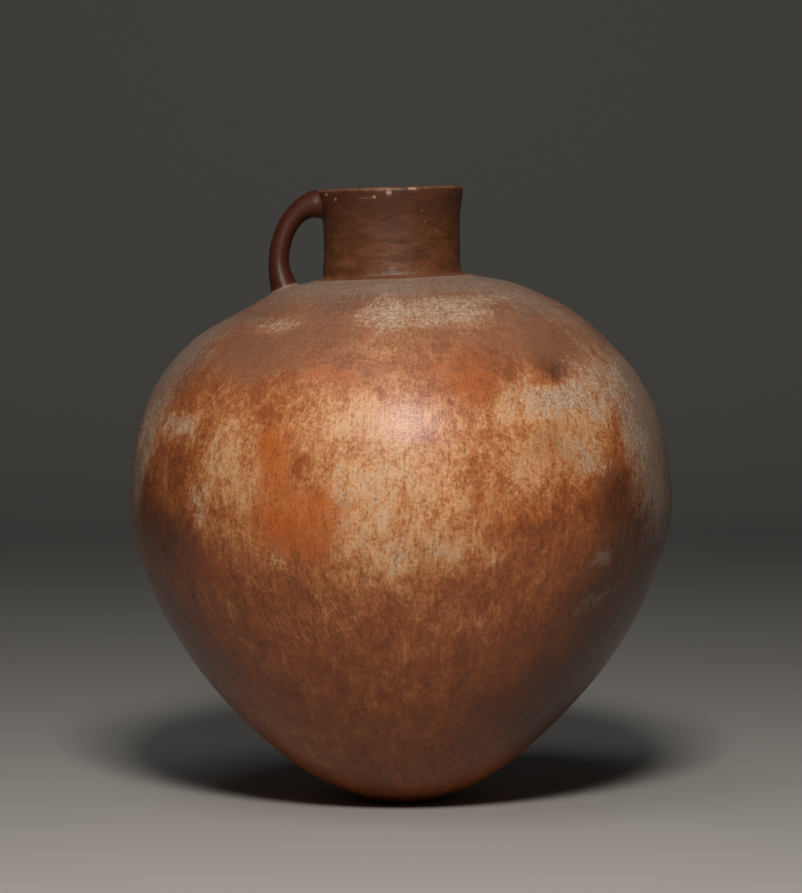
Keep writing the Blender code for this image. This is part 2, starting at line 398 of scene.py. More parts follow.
PATCHES: dict[Mark, tuple[Spot, ...]] = {
    Mark.THIN: spots(
        ("worn front", -3, 345, 78, 46, 0.9),
        ("worn front, lower", -2, 296, 56, 34, 0.9),
        ("worn above the light", 0, 414, 24, 13, 0.55),
        ("worn belly", -1, 302, 34, 28, 1.0),
        ("worn left of the flash", -38, 322, 30, 36, 0.8),
        ("worn right of the light", 30, 338, 34, 32, 0.75),
        ("worn towards the right limb", 50, 350, 34, 26, 0.5),
    ),
    Mark.MAUVE: spots(
        ("mauve on the left", -40, 405, 48, 21, 0.95),
        ("mauve left of the neck", -52, 465, 34, 15, 0.7),
        ("mauve on the right", 44, 413, 34, 26, 0.95),
        ("pink under the cloud", 34, 345, 24, 18, 0.6),
        ("pinkish shoulder", -22, 430, 40, 12, 0.6),
        ("pinkish right belly", 47, 322, 30, 20, 0.5),
    ),
    Mark.ORANGE: spots(
        ("orange band", -15, 391, 27, 14, 0.75),
        ("orange zone", 12, 402, 32, 22, 0.45),
        ("strong orange", 17, 387, 21, 20, 0.62),
        ("orange column", -27, 342, 15, 18, 0.85),
        ("orange below the column", -26, 322, 11, 12, 0.8),
        ("orange flash", -20, 292, 23, 21, 1.4),
        ("warm rim of the flash", -24, 290, 40, 28, 0.5),
        ("warm belly", 22, 300, 34, 26, 0.45),
    ),
    Mark.BROWN: spots(
        ("brown under the handle's foot", -53, 449, 19, 10, 0.85),
        ("brown left of the pale patch", -24, 472, 17, 16, 0.75),
        ("brown spot on the left", -35, 380, 13, 9, 0.7),
        ("dark patch on the left", -51, 334, 26, 13, 0.85),
        ("pinkish brown by the neck", 6, 500, 40, 16, 0.6),
        ("brown right of the neck", 40, 482, 15, 11, 0.6),
        ("brown on the right shoulder", 42, 451, 16, 12, 0.65),
        ("dark red spot", 40, 396, 12, 11, 1.1),
        ("red spot on the left", -39, 417, 7, 6, 0.6),
        ("browner orange", 17, 388, 24, 18, 0.6),
        # Painted shade: a darker patch where the lamp's highlight falls, to tone down the hot spot.
        ("painted shade under the highlight", 4, 360, 30, 24, 0.7),
        ("red stripe on the right", 51, 335, 12, 17, 1.6),
        ("red brown below the belly", 32, 286, 38, 18, 0.5),
    ),
    # Painted shade: darker limbs and lower sides where less light falls. The spot at azimuth 40 is a real
    # dark spot.
    Mark.SHADE_AND_DARK_SPOT: spots(
        ("painted shade right, on the belly", 51, 304, 28, 30, 0.62),
        ("dark spot on the right", 40, 397, 13, 11, 0.55),
        ("painted shade, left limb", -60, 282, 40, 27, 0.7),
        ("painted shade, left limb, lower", -72, 205, 60, 60, 0.6),
        ("painted shade, right limb", 63, 250, 54, 40, 1.15),
        ("painted shade, right side", 66, 175, 76, 70, 1.1),
        ("painted shade, right belly", 74, 305, 40, 34, 0.75),
    ),
    Mark.GREY: spots(
        ("grey left limb", -79, 312, 30, 44, 1.0),
        ("grey shoulder, left of the neck", -56, 492, 40, 26, 0.75),
        ("grey upper left limb", -80, 400, 54, 58, 1.05),
        ("grey right limb", 74, 345, 54, 68, 1.4),
        ("grey top of the right shoulder", 58, 470, 44, 34, 0.8),
        ("crust low on the right", 46, 266, 16, 10, 0.55, -30),
        ("crust below it", 47, 235, 25, 8, 0.55, -25),
        ("wisps below the belly", 17, 204, 22, 8, 0.45, -30),
    ),
    Mark.CREAM: spots(
        ("pale ring beside the handle", -46, 504, 22, 12, 0.55),
        ("pale patch under the neck", -6, 450, 17, 20, 1.05),
        ("pale band right of it", 15, 453, 34, 18, 1.0),
        ("palest part of the band", 22, 458, 18, 10, 0.9),
        ("pale end of the band", 40, 466, 26, 9, 0.55),
        ("small streak on the left", -38, 437, 14, 6, 0.7),
        ("pale wisps on the left", -44, 440, 34, 14, 0.45),
        ("streaks on the left shoulder", -58, 356, 27, 14, 0.75),
        ("pale left limb", -74, 346, 20, 24, 0.85),
        ("cloud on the right shoulder", 38, 373, 48, 16, 0.95),
        ("cloud towards the right limb", 60, 392, 34, 19, 0.85),
        ("streaks under the cloud", 42, 334, 17, 14, 0.7),
        ("streaks below the right limb", 61, 340, 26, 26, 0.6),
        ("worn column on the left", -47, 303, 9, 20, 0.75),
        ("worn column, upper", -42, 338, 16, 26, 0.4),
        ("flaked spot below the flash", -27, 265, 8, 7, 0.55),
        ("flaked spot under the light", -1, 271, 9, 9, 0.6),
        ("row of flakes", 8, 274, 12, 5, 0.6),
        ("single flake", 20, 269, 4, 3, 0.7),
        ("flakes beside the flash", -13, 297, 5, 18, 0.6),
        ("pale grains under the light", -3, 340, 48, 38, 0.2),
        # Paler belly below the highlight: partly worn clay, partly painted light where the lamp's light
        # falls off.
        ("painted light on the belly, left of the highlight", -8, 300, 20, 27, 0.28),
        ("painted light on the belly, under the highlight", 1, 312, 18, 24, 0.2),
    ),
    Mark.GOUGED: spots(
        ("slanted strokes below the flash", -26, 236, 54, 30, 1.0),
        ("slanted strokes, centre", 4, 240, 40, 26, 0.5),
    ),
    Mark.CHIP: spots(
        ("round chip", -1.2, 578.2, 2.7, 2.5, 1.2),
        ("long chip", 17, 580.4, 3.6, 2.0, 1.2),
        ("small chip near the handle", -62, 578.0, 2.0, 1.5, 1.0),
        ("speck under the rim", -50, 574.4, 1.5, 1.3, 0.9),
        ("flake under the scratch", -13, 575.0, 1.6, 1.2, 0.95),
        ("chip at the back", 150, 581, 3.6, 2.2, 1.2),
        ("chip at the right", 96, 580.5, 2.4, 1.8, 1.1),
    ),
}

SWELLINGS: tuple[Spot, ...] = spots(
    ("left shoulder", -90, 379, 110, 27, 1.2),
    ("left of the handle's foot", -90, 464, 40, 17, -1.2),
    ("right of the neck", 90, 486, 40, 13, 1.2),
    ("right shoulder", 90, 424, 60, 22, -0.8),
    ("bead on the neck", 0, 524.5, 2.6, 2.0, 0.45),
    ("right, above the belly", 90, 326, 60, 14, -0.9),
    ("right, below the belly", 90, 244, 50, 13, -0.7),
    ("back shoulder", 165, 395, 80, 50, -1.0),
    ("back belly", 150, 290, 90, 60, 0.7),
)


# Small scratches, pits and flakes.
PALE_NICKS: tuple[Spot, ...] = spots(
    ("white flake on the flash", -15.4, 308.5, 1.0, 1.6),
    ("pit in the belly", 14.8, 318, 1.6, 1.8),
    ("small pit low on the front", 12.7, 246, 2.4, 1.8),
    ("drawn line", 2.7, 236, 0.5, 17),
    ("second drawn line", 3.7, 240, 0.4, 12),
    ("long scratch", -16.4, 204, 0.6, 15, 1, 42),
    ("scratch low on the left", -38.9, 160, 0.6, 16, 1, 78),
    ("speck low on the front", -7.4, 192, 0.9, 0.9),
    ("second speck", -0.8, 166, 0.9, 0.8),
    ("scratch on the neck", -21, 574.5, 7.1, 0.45, 1, 4),
    ("dot on the neck", 26, 565, 1.3, 1.0),
    ("second dot on the neck", 29, 557.5, 1.0, 1.2),
    ("third dot on the neck", 41, 551, 1.2, 1.0),
)

DARK_NICKS: tuple[Spot, ...] = spots(
    ("dark pit low on the front", 17.5, 244, 1.4, 1.4),
    ("dark spot under the neck", 14, 455, 1.4, 1.0),
)


@dataclass
class Wall:
    """The vessel's section, for places on the wall and the way up it."""

    form: VesselForm = field(default_factory=VesselForm)
    inner_spacing: float = 0.0062
    lip_steps: int = 12
    crease_reach: float = 0.0022
    crease_rounds: int = 1
    outer: np.ndarray = field(init=False)
    inner: np.ndarray = field(init=False)
    way: np.ndarray = field(init=False)

    def __post_init__(self) -> None:
        """Works out the outside and the inside, row by row."""
        outer, inner = [], []
        for ends, spacing, first, last in self.form.curves():
            points, _ = self.run(ends, spacing, first, last)
            outer += list(points if not outer else points[1:])
            _, points = self.run(ends, self.inner_spacing, first, last)
            inner += list(points if not inner else points[1:])
        inner[-1] = outer[-1] - np.array([self.form.lip_wall, 0])
        self.outer = self.eased(np.array(outer))
        self.inner = np.array(inner)
        steps = np.diff(np.vstack([[0, 0], self.outer]), axis=0)
        self.way = np.cumsum(np.linalg.norm(steps, axis=1))

    @staticmethod
    def run(
        ends: np.ndarray, spacing: float, first: float, last: float
    ) -> tuple[np.ndarray, np.ndarray]:
        """Follows one free curve in even steps.

        Args:
            ends: The four points of its Bezier.
            spacing: How far apart its points are, about.
            first: The clay's thickness at its start.
            last: The clay's thickness at its end.

        Returns:
            The points outside, and those inside the clay, one to a row.
        """
        dense = np.linspace(0, 1, CURVE_STEPS)
        gaps = np.linalg.norm(np.diff(bezier(ends, dense[:, None])[0], axis=0), axis=1)
        way = np.concatenate([[0], np.cumsum(gaps)])
        count = max(2, round(way[-1] / spacing))
        shares = np.interp(np.linspace(0, way[-1], count + 1), way, dense)
        points, along = bezier(ends, shares[:, None])
        inward = np.stack([-along[:, 1], along[:, 0]], 1) / np.linalg.norm(along, axis=1)[:, None]
        return points, points + inward * (first + (last - first) * shares)[:, None]

    def eased(self, outer: np.ndarray) -> np.ndarray:
        """Rounds the crease where the neck meets the shoulder, as a wet finger leaves it."""
        base = np.array([self.form.neck_base_radius, self.form.neck_base_height])
        near = np.linalg.norm(outer - base, axis=1) < self.crease_reach
        near[[0, -1]] = False
        rows = np.flatnonzero(near)
        for _ in range(self.crease_rounds):
            outer[rows] = (outer[rows - 1] + 2 * outer[rows] + outer[rows + 1]) / 4
        return outer

    def profile(self) -> list[tuple[float, float]]:
        """Returns half of the section, from the axis under the foot to the axis above the floor."""
        centre = self.outer[-1] - np.array([self.form.lip_radius, 0])
        angles = [math.pi * step / self.lip_steps for step in range(1, self.lip_steps)]
        lip = [centre + self.form.lip_radius * np.array([math.cos(a), math.sin(a)]) for a in angles]
        points = list(self.outer) + lip + list(self.inner[::-1])
        return [(0.0, 0.0)] + [tuple(p) for p in points] + [(0.0, self.form.floor)]

    def locate(self, radius: np.ndarray, height: np.ndarray) -> tuple[np.ndarray, ...]:
        """Finds the nearest place on the outside.

        Args:
            radius: Each point's distance from the axis.
            height: Each point's height.

        Returns:
            The way up the wall in millimetres, the distance out of the surface in metres, and the
            outward direction there as radial and upward parts.
        """
        crest = np.array([self.form.rim_radius - self.form.lip_radius, self.form.height])
        line = np.vstack([[0, 0], self.outer, crest])
        way = np.concatenate([[0], self.way, [self.way[-1] + self.form.lip_radius * math.pi / 2]])
        point = np.stack([radius, height], 1)
        best = np.full(len(point), np.inf)
        ways, offset = np.zeros(len(point)), np.zeros(len(point))
        out = np.zeros((len(point), 2))
        for start, end, low, high in zip(line[:-1], line[1:], way[:-1], way[1:]):
            run = end - start
            length = np.linalg.norm(run)
            normal = np.array([run[1], -run[0]]) / length
            share = np.clip((point - start) @ run / length**2, 0, 1)
            gap = point - start - share[:, None] * run
            distance = np.linalg.norm(gap, axis=1)
            nearer = distance < best
            best = np.where(nearer, distance, best)
            ways = np.where(nearer, low + share * (high - low), ways)
            side = gap @ normal
            offset = np.where(nearer, np.copysign(distance, side), offset)
            out[nearer] = normal
        return ways / MILLIMETRE, offset, out

    def middle_height(self, radius: np.ndarray) -> np.ndarray:
        """Returns the height of the middle of the shoulder's clay at these distances from the axis."""
        shoulder = self.outer[:, 1] > self.form.belly_height
        shoulder &= self.outer[:, 1] < self.form.neck_base_height
        rows = self.outer[shoulder][::-1]
        return np.interp(radius, rows[:, 0], rows[:, 1]) - self.form.body_wall / 2

    def middle_radius(self, height: np.ndarray) -> np.ndarray:
        """Returns the radius of the middle of the neck's clay at these heights."""
        neck = self.outer[:, 1] > self.form.neck_base_height
        rows = self.outer[neck]
        return np.interp(height, rows[:, 1], rows[:, 0]) - self.form.lip_radius


@dataclass
class Jug:
    """The whole jug: vessel and handle, luted, set askew and marked for its finish."""

    wall: Wall = field(default_factory=Wall)
    handle: HandleForm = field(default_factory=HandleForm)
    askew: Askew = field(default_factory=Askew)
    turns: int = 240
    weld: float = 0.00002
    fillet_rings: int = 3
    fillet_rounds: int = 2
    fillet_factor: float = 0.5
    uneven_depth: float = 0.0006
    uneven_size: float = 0.095
    dimple_depth: float = 0.00016
    dimple_size: float = 0.021
    dimple_shift: tuple[float, float, float] = (7, 3, 5)
    facet_depth: float = 0.00014
    facet_width: float = 0.013
    facet_length: float = 0.11
    chip_depth: float = 0.0006
    chip_gain: float = 1.6
    chip_edge: float = 0.35
    foot_start: float = 12
    foot_blend: float = 22
    neck_shift: float = 0.0015
    neck_swell: float = 0.0007
    neck_rise: float = 3.5
    neck_sink: float = 0.0022
    sink_azimuth: float = -40
    sink_reach: float = 90
    sink_start: float = 26
    sink_blend: float = 18
    sink_end: float = 4
    crest_lift: float = 0.0010
    crest_start: float = 0.0470
    crest_blend: float = 0.002
    crest_end: float = 0.0490
    crest_height: float = 0.402
    crest_reach: float = 0.012
    warp_reach: float = 10.0
    warp_size: float = 0.030
    warp_fine: float = 0.011
    fine_share: float = 0.5
    inside_share: float = 0.6
    handle_start: float = 0.0003
    handle_blend: float = 0.0018
    handle_reach: float = 0.012
    back_start: float = 95
    back_span: float = 170
    back_slant: float = 25
    back_jitter: tuple[float, float] = (0.1, 0.9)
    seed: int = 11

    def vessel_mesh(self) -> bmesh.types.BMesh:
        """Turns the section round the axis.

        Returns:
            The closed vessel.
        """
        work = bmesh.new()
        verts = [work.verts.new((radius, 0, height)) for radius, height in self.wall.profile()]
        edges = [work.edges.new(pair) for pair in zip(verts[:-1], verts[1:])]
        bmesh.ops.spin(
            work,
            geom=verts + edges,
            cent=(0, 0, 0),
            axis=(0, 0, 1),
            angle=math.tau,
            steps=self.turns,
            use_merge=True,
        )
        bmesh.ops.remove_doubles(work, verts=work.verts, dist=self.weld)
        bmesh.ops.recalc_face_normals(work, faces=work.faces)
        return work

    def handle_line(self) -> list[tuple[Vector, Vector, float]]:
        """Follows the middle of the handle from the rim to the shoulder.

        Returns:
            For each ring its centre, its direction, and its radius towards the neck.
        """
        form, loop = self.wall.form, self.handle
        foot_radius = form.neck_waist_radius + loop.finger_gap + loop.thickness / 2 - loop.tuck
        foot_height = float(self.wall.middle_height(np.array([foot_radius]))[0]) + form.body_wall / 2
        foot = Vector((-foot_radius, 0, foot_height))
        top = Vector((-form.rim_radius, 0, form.height - loop.set_down - loop.top_root / 2))
        away = Vector((-1, 0, 0))
        into_foot = Vector((math.sin(loop.foot_slant), 0, -math.cos(loop.foot_slant)))
        reach = foot_radius + loop.tuck - form.rim_radius
        ends = (
            top,
            top + away * loop.top_reach * reach,
            foot - into_foot * loop.foot_reach * (top.z - foot.z),
            foot,
        )
        line = []
        for ring in range(loop.rings + 1):
            point, along = bezier(ends, ring / loop.rings)
            radius = loop.thickness / 2
            roots = (
                ((point - top).length / loop.top_root_length, loop.top_root),
                ((point - foot).length / loop.foot_root_length, loop.foot_root),
            )
            for share, root in roots:
                radius += (root - loop.thickness) / 2 * max(0.0, 1 - share) ** 2
            line.append((point, along.normalized(), radius))
        return line

    def handle_mesh(self) -> bmesh.types.BMesh:
        """Sweeps an oval along the handle's line, with its ends in the middle of the wall.

        Returns:
            The closed handle.
        """
        loop = self.handle
        across = Vector((0, 1, 0))
        places = []
        for centre, along, radius in self.handle_line():
            inward = across.cross(along)
            place = Matrix.Identity(4)
            place.col[0] = (*(inward * radius), 0)
            place.col[1] = (*(across * radius * loop.width / loop.thickness), 0)
            place.col[2] = (*along, 0)
            place.col[3] = (*centre, 1)
            places.append(place)
        work = bmesh.new()
        bmesh.ops.create_circle(work, cap_ends=False, segments=loop.sides, radius=1)
        bmesh.ops.transform(work, matrix=places[0], verts=work.verts)
        first = list(work.verts)
        edges = list(work.edges)
        for old, new in zip(places[:-1], places[1:]):
            made = bmesh.ops.extrude_edge_only(work, edges=edges)["geom"]
            verts = [v for v in made if isinstance(v, BMVert)]
            edges = [e for e in made if isinstance(e, BMEdge)]
            bmesh.ops.transform(work, matrix=new @ old.inverted(), verts=verts)
        last = verts
        for v in first:
            radius = float(self.wall.middle_radius(np.array([v.co.z]))[0])
            v.co.x = -math.sqrt(radius**2 - v.co.y**2)
        for v in last:
            v.co.z = float(self.wall.middle_height(np.array([math.hypot(v.co.x, v.co.y)]))[0])
        bmesh.ops.holes_fill(work, edges=[e for e in work.edges if e.is_boundary])
        ngons = [f for f in work.faces if len(f.verts) > 4]
        bmesh.ops.poke(work, faces=ngons)
        bmesh.ops.recalc_face_normals(work, faces=work.faces)
        return work

    def luted(self) -> bmesh.types.BMesh:
        """Joins the handle to the vessel and draws the wet clay over the joints.

        Returns:
            The straight jug as one closed mesh.
        """
        vessel = new_object("vessel", self.vessel_mesh())
        handle = new_object("handle", self.handle_mesh())
        marks = [bpy.data.materials.new(name) for name in ("vessel_side", "handle_side")]
        vessel.data.materials.append(marks[0])
        vessel.data.materials.append(marks[1])
        handle.data.materials.append(marks[1])
        join = vessel.modifiers.new("Luting", "BOOLEAN")
        join.operation = "UNION"
        join.solver = "EXACT"
        join.object = handle
        bpy.context.view_layer.update()
        graph = bpy.context.evaluated_depsgraph_get()
        mesh = bpy.data.meshes.new_from_object(vessel.evaluated_get(graph))
        work = bmesh.new()
        work.from_mesh(mesh)
        for piece in (vessel, handle):
            bpy.data.objects.remove(piece, do_unlink=True)
        bpy.data.meshes.remove(mesh)
        bmesh.ops.remove_doubles(work, verts=work.verts, dist=self.weld)
        seam = {
            v
            for e in work.edges
            if len({f.material_index for f in e.link_faces}) > 1
            for v in e.verts
        }
        log.info("luting seam has %d points", len(seam))
        near = set(seam)
        rings = [set(seam)]
        for _ in range(self.fillet_rings):
            near |= {e.other_vert(v) for v in near for e in v.link_edges}
            rings.append(set(near))
        for ring in rings[::-1]:
            for _ in range(self.fillet_rounds):
                bmesh.ops.smooth_vert(
                    work, verts=list(ring), factor=self.fillet_factor,
                    use_axis_x=True, use_axis_y=True, use_axis_z=True,
                )
        for face in work.faces:
            face.material_index = 0
            face.smooth = True
        for mark in marks:
            bpy.data.materials.remove(mark)
        return work

    def back_patches(self) -> list[tuple[Mark, Spot]]:
        """Returns the plainer areas of the sides and the back, in keeping with the front."""
        draw = random.Random(self.seed)
        kinds = (
            (Mark.CREAM, 15, (330, 480), (18, 42), (9, 18), (0.6, 0.95)),
            (Mark.MAUVE, 8, (350, 470), (25, 48), (14, 26), (0.6, 0.95)),
            (Mark.BROWN, 11, (250, 490), (16, 44), (9, 22), (0.6, 0.95)),
            (Mark.ORANGE, 9, (280, 410), (16, 38), (12, 24), (0.5, 1.0)),
            (Mark.THIN, 7, (290, 370), (50, 80), (24, 40), (0.7, 1.0)),
            # Painted shade low on the sides and the back, in keeping with the front.
            (Mark.SHADE_AND_DARK_SPOT, 5, (150, 290), (50, 80), (35, 60), (0.4, 0.8)),
            (Mark.GREY, 5, (230, 480), (20, 40), (12, 26), (0.4, 0.7)),
        )
        patches = []
        for mark, count, ways, acrosses, alongs, strengths in kinds:
            for number in range(count):
                step = number + draw.uniform(*self.back_jitter)
                patches.append((mark, Spot(
                    f"back {mark.value} {number}", self.back_start + self.back_span * step / count,
                    draw.uniform(*ways), draw.uniform(*acrosses), draw.uniform(*alongs),
                    draw.uniform(*strengths), draw.uniform(-self.back_slant, self.back_slant),
                )))
        return patches

    def build(self) -> bpy.types.Object:
        """Makes the jug, with its hand-made unevenness and the attributes that its finish reads.

        Returns:
            The jug at the origin.
        """
        form = self.wall.form
        jug = new_object("burnished_jug", self.luted())
        mesh = jug.data
        points = np.empty(len(mesh.vertices) * 3)
        mesh.vertices.foreach_get("co", points)
        points = points.reshape(-1, 3)
        radius = np.hypot(points[:, 0], points[:, 1])
        azimuth = np.degrees(np.arctan2(points[:, 0], -points[:, 1]))
        way, offset, out = self.wall.locate(radius, points[:, 2])
        inside = rise(-offset / (self.inside_share * form.lip_wall))
        on_handle = rise((offset - self.handle_start) / self.handle_blend)
        hold = 1 - rise(offset / self.handle_reach)

        noise.seed_set(self.seed)
        warp = np.array([
            noise.noise_vector(Vector(point) / self.warp_size)
            + self.fine_share * noise.noise_vector(Vector(point) / self.warp_fine)
            for point in points
        ])[:, :2] * self.warp_reach
        marks = {mark: np.ones(len(points)) for mark in Mark}
        front = [(mark, patch) for mark, patches in PATCHES.items() for patch in patches]
        for mark, patch in front + self.back_patches():
            share = patch.share(azimuth, way, radius / MILLIMETRE, warp)
            marks[mark] *= 1 - np.clip(share * patch.strength, 0, 1)
        marks = {mark: 1 - rest for mark, rest in marks.items()}
        chips = marks[Mark.CHIP] * (1 - on_handle)

        height = np.zeros(len(points))
        for swelling in SWELLINGS:
            share = swelling.share(azimuth, way, radius / MILLIMETRE)
            height += share * swelling.strength * MILLIMETRE
        around = np.stack([np.sin(np.radians(azimuth)), np.cos(np.radians(azimuth))], 1)
        belly = form.belly_radius
        for i, point in enumerate(points):
            place = Vector(point)
            uneven = noise.noise(place / self.uneven_size)
            dimple = noise.noise(place / self.dimple_size + Vector(self.dimple_shift))
            facet = noise.noise(Vector((
                around[i, 0] * belly / self.facet_width,
                around[i, 1] * belly / self.facet_width,
                way[i] * MILLIMETRE / self.facet_length,
            )))
            height[i] += uneven * self.uneven_depth + dimple * self.dimple_depth
            height[i] += facet * self.facet_depth
        foot = rise((way - self.foot_start) / self.foot_blend)
        height = height * hold * foot - self.chip_depth * rise(chips * self.chip_gain - self.chip_edge)
        points[:, 0] += height * out[:, 0] * points[:, 0] / np.maximum(radius, TINY)
        points[:, 1] += height * out[:, 0] * points[:, 1] / np.maximum(radius, TINY)
        points[:, 2] += height * out[:, 1]
        spot = np.stack([points[:, 0], way * MILLIMETRE, -points[:, 1]], 1)
        self.set_neck(points, azimuth, way, hold)
        points = self.askew.apply(form, points)
        points[:, 2] = np.maximum(points[:, 2], 0)
        mesh.vertices.foreach_set("co", points.ravel())

        stroke = np.stack([around[:, 0] * belly, around[:, 1] * belly, way * MILLIMETRE], 1)
        self.store(mesh, "stroke", "FLOAT_VECTOR", "vector", stroke)
        self.store(mesh, "place_on_wall", "FLOAT_VECTOR", "vector", spot)
        for mark, values in marks.items():
            self.store(mesh, mark.value, "FLOAT", "value", values)
        self.store(mesh, "inside", "FLOAT", "value", inside)
        self.store(mesh, "on_handle", "FLOAT", "value", on_handle)
        self.store(mesh, "way_up", "FLOAT", "value", way * MILLIMETRE)
        mesh.update()
        return jug

    def set_neck(
        self, points: np.ndarray, azimuth: np.ndarray, way: np.ndarray, hold: np.ndarray
    ) -> None:
        """Stands the neck a little more upright, sinks the shoulder at its foot, and fills the crest.

        Args:
            points: Points on the straight jug, one to a row, which are moved.
            azimuth: Each point's azimuth in degrees.
            way: Each point's way up the wall in millimetres.
            hold: 1 on the wall, falling to 0 on the handle.
        """
        form = self.wall.form
        share = np.clip((points[:, 2] - form.neck_base_height) / form.neck_height, 0, 1)
        swell = self.neck_swell * np.sin(math.pi * share) * hold
        reach = np.maximum(np.hypot(points[:, 0], points[:, 1]), form.foot_radius)
        points[:, :2] *= (1 + swell / reach)[:, None]
        points[:, 0] += self.neck_shift * rise(share * self.neck_rise) * hold
        foot = np.interp(form.neck_base_height, self.wall.outer[:, 1], self.wall.way) / MILLIMETRE
        below = rise((way - foot + self.sink_start) / self.sink_blend)
        above = rise((way - foot) / self.sink_end)
        sink = self.neck_sink * fade((turned(azimuth, self.sink_azimuth) / self.sink_reach) ** 2)
        points[:, 2] -= sink * hold * below * (1 - above)
        left = -points[:, 0]
        crest = rise((left - self.crest_start) / self.crest_blend)
        crest *= 1 - rise((left - self.crest_end) / self.crest_reach)
        points[:, 2] += self.crest_lift * crest * rise((points[:, 2] - self.crest_height) / self.crest_reach)

    @staticmethod
    def store(mesh: bpy.types.Mesh, name: str, kind: str, key: str, values: np.ndarray) -> None:
        """Keeps one value for each point of the mesh as an attribute."""
        attribute = mesh.attributes.new(name, kind, "POINT")
        attribute.data.foreach_set(key, values.astype(np.float32).ravel())


@dataclass(frozen=True)
class Climb:
    """A value that changes between two places on the way up the wall, which are in metres."""

    low: float
    high: float
    start: float = 0.0
    end: float = 1.0
    curve: str = "SMOOTHSTEP"


CLIMBS: dict[str, Climb] = {
    "smeared": Climb(0.39, 0.46, 0, 0.85),
    "worn": Climb(0.20, 0.36, 0.46, 0.47),
    "stir": Climb(0.18, 0.31, 0.74, 1.0),
    "dusty": Climb(0.43, 0.50, 0, 0.85),
    "settled": Climb(0.355, 0.46, 0, 0.72),
    "long_depth": Climb(0.26, 0.38, 0.2, 0.1),
    "fibre_depth": Climb(0.26, 0.38, 0.27, 0.10, "LINEAR"),
    "speck_depth": Climb(0.18, 0.34, 0.12, 0.22, "LINEAR"),
    "calm": Climb(0.08, 0.20, 0.4, 1.0, "LINEAR"),
    "on_neck": Climb(0.5165, 0.5205),
    "neck_reach": Climb(0.525, 0.575, 0.95, 0.35),
}


@dataclass(frozen=True)
class Grain:
    """A noise pattern: what it reads, its size in millimetres, its noise, and how far it is spread."""

    reads: str
    width: float
    height: float
    detail: float
    roughness: float
    distortion: float
    contrast: float


GRAINS: dict[str, Grain] = {
    "cloud": Grain("place", 42, 42, 5, 0.6, 0.4, 2.2),
    "ragged": Grain("stroke", 15, 19.5, 7, 0.72, 0.6, 2.4),
    "worm": Grain("place", 4.0, 4.0, 4, 0.75, 0.6, 2.6),
    "speck": Grain("place", 1.9, 1.9, 3, 0.75, 0.2, 2.8),
    "fibre": Grain("stroke", 1.7, 9, 4, 0.7, 0.2, 2.8),
    "long": Grain("stroke", 3.0, 42, 4, 0.6, 0.1, 2.2),
    "streak": Grain("climbing", 3.4, 16, 5, 0.74, 0.3, 2.4),
    "gouge": Grain("falling", 2.3, 14, 2, 0.5, 0.1, 2.4),
    "smear": Grain("stroke", 70, 6.0, 7, 0.72, 0.6, 2.2),
}

BLENDS: dict[str, tuple[float, dict[str, float]]] = {
    "frayed": (1.5, {"torn": 0.58, "worm": 0.24, "fibre": 0.18}),
    "wisps": (2.0, {"streak": 0.40, "torn": 0.26, "worm": 0.20, "speck": 0.14}),
    "flour": (2.0, {"worm": 0.4, "torn": 0.3, "speck": 0.3}),
    "dots": (1.4, {"speck": 0.55, "fibre": 0.45}),
}


@dataclass(frozen=True)
class Tear:
    """How far a pattern tears a layer's edge, how much of the layer shows at most, and how softly."""

    reach: float
    most: float
    edge: float


